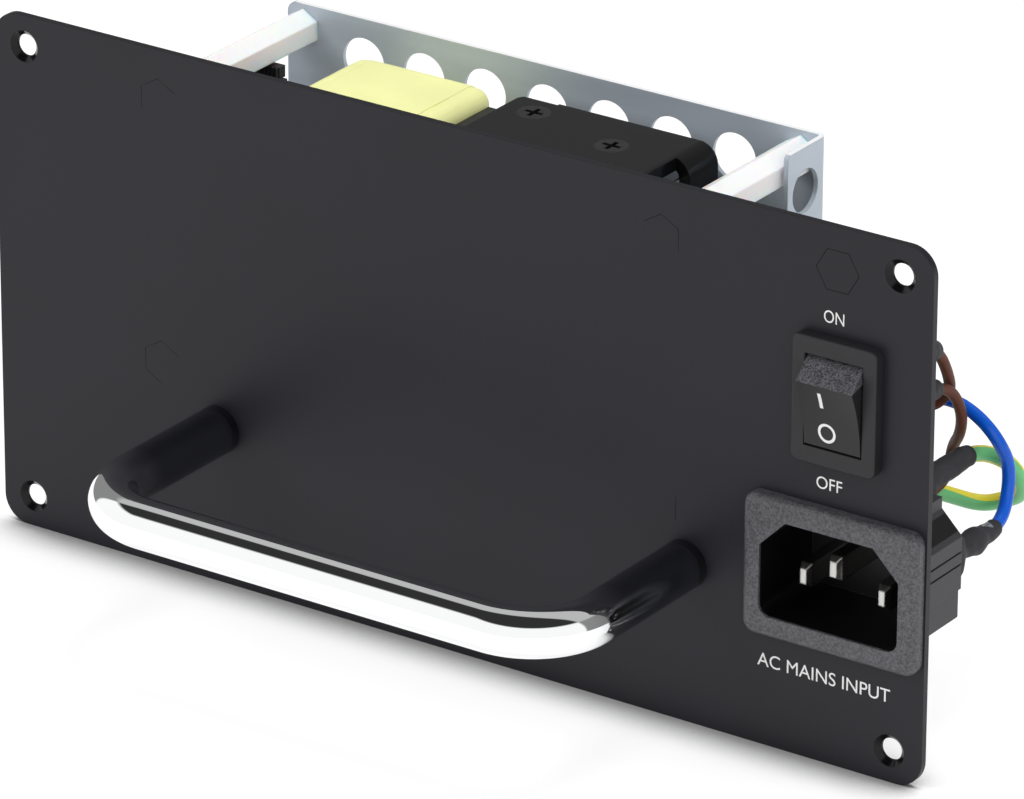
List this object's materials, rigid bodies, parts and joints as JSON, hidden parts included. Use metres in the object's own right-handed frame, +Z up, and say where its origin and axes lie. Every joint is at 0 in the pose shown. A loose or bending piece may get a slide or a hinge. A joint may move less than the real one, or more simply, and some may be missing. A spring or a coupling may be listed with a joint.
{
  "type": "server power supply module",
  "caption": "Rack server power supply: flat front panel with pull handle, rocker switch and mains inlet, and an open converter board behind it under a vented bracket.",
  "frame": {"origin": "centre of the four panel holes, on the panel's rear (seating) face", "axes": "+X along the panel's length towards the switch and mains inlet, +Y into the chassis, away from the operator, +Z up"},
  "size_m": [0.174, 0.0887, 0.0882],
  "materials": {
    "panel": "fine black powder coat",
    "handle": "bright chrome plate",
    "zinc": "zinc plated sheet",
    "nylon": "natural nylon",
    "board": "solder-masked laminate",
    "ferrite": "ground ferrite",
    "tape": "pale yellow polyester tape",
    "copper": "enamelled copper",
    "black_anodised": "black anodised",
    "black_screw": "black oxide",
    "steel_screw": "zinc plated",
    "package": "moulded epoxy",
    "pad": "silicone pad",
    "can": "shrunk sleeve",
    "film": "yellow film capacitor case",
    "ceramic": "blue dipped ceramic",
    "glass": "clear glass tube",
    "tin": "tinned metal",
    "black_plastic": "grained black plastic",
    "rocker": "satin black plastic",
    "white_plastic": "natural nylon",
    "brass": "bare brass",
    "sleeve": "black heat-shrink",
    "brown_lead": "brown PVC",
    "blue_lead": "light blue PVC",
    "earth_lead": "green PVC with a yellow stripe"
  },
  "bodies": {
    "root": {"front_panel": "panel", "handle": "handle", "handle_washers": "steel_screw", "handle_screws": "steel_screw", "clinch_spacers": "steel_screw", "nylon_pillars": "nylon", "bracket_screws": "steel_screw", "rear_bracket": "zinc", "circuit_board": "board", "transformer_core": "ferrite", "transformer_winding": "tape", "transformer_bobbin": "black_plastic", "transformer_pins": "tin", "primary_heatsink": "black_anodised", "heatsink_screws": "black_screw", "power_transistors": "package", "insulating_pads": "pad", "bulk_capacitor": "can", "output_capacitors": "can", "x_capacitor": "film", "y_capacitors": "ceramic", "choke_core": "ferrite", "choke_base": "black_plastic", "choke_windings": "copper", "thermistor": "package", "fuse_tube": "glass", "fuse_caps": "tin", "bridge_rectifier": "package", "secondary_heatsink": "black_anodised", "output_rectifier": "package", "output_inductor_core": "ferrite", "output_inductor_coil": "copper", "optocoupler": "package", "control_chip": "package", "output_connector": "black_plastic", "input_header": "white_plastic", "input_plug": "white_plastic", "switch_housing": "black_plastic", "switch_terminals": "tin", "inlet_housing": "black_plastic", "inlet_line_pin": "tin", "inlet_neutral_pin": "tin", "inlet_earth_pin": "tin", "quick_connects": "tin", "switch_sleeves": "sleeve", "inlet_sleeves": "sleeve", "earth_stud": "steel_screw", "earth_ring_terminal": "tin", "earth_washer": "steel_screw", "earth_nut": "steel_screw", "line_lead": "brown_lead", "switched_lead": "brown_lead", "neutral_lead": "blue_lead", "earth_lead": "earth_lead"},
    "rocker": {"switch_rocker": "rocker", "switch_plunger": "white_plastic", "switch_spring": "steel_screw"},
    "contact": {"switch_contact": "brass"}
  },
  "joints": [
    {"name": "rocker_tilt", "type": "hinge", "parent": "root", "child": "rocker", "pos_m": [0.0712, 0.00183, 0.01615], "axis": [-1, 0, 0], "range_deg": [0, 28.08]},
    {"name": "contact_tilt", "type": "hinge", "parent": "root", "child": "contact", "pos_m": [0.0712, 0.0089, 0.01615], "axis": [1, 0, 0], "range_deg": [0, 14]}
  ],
  "couplings": [
    {"joint": "contact_tilt", "follows": "rocker_tilt", "ratio": 0.498}
  ]
}
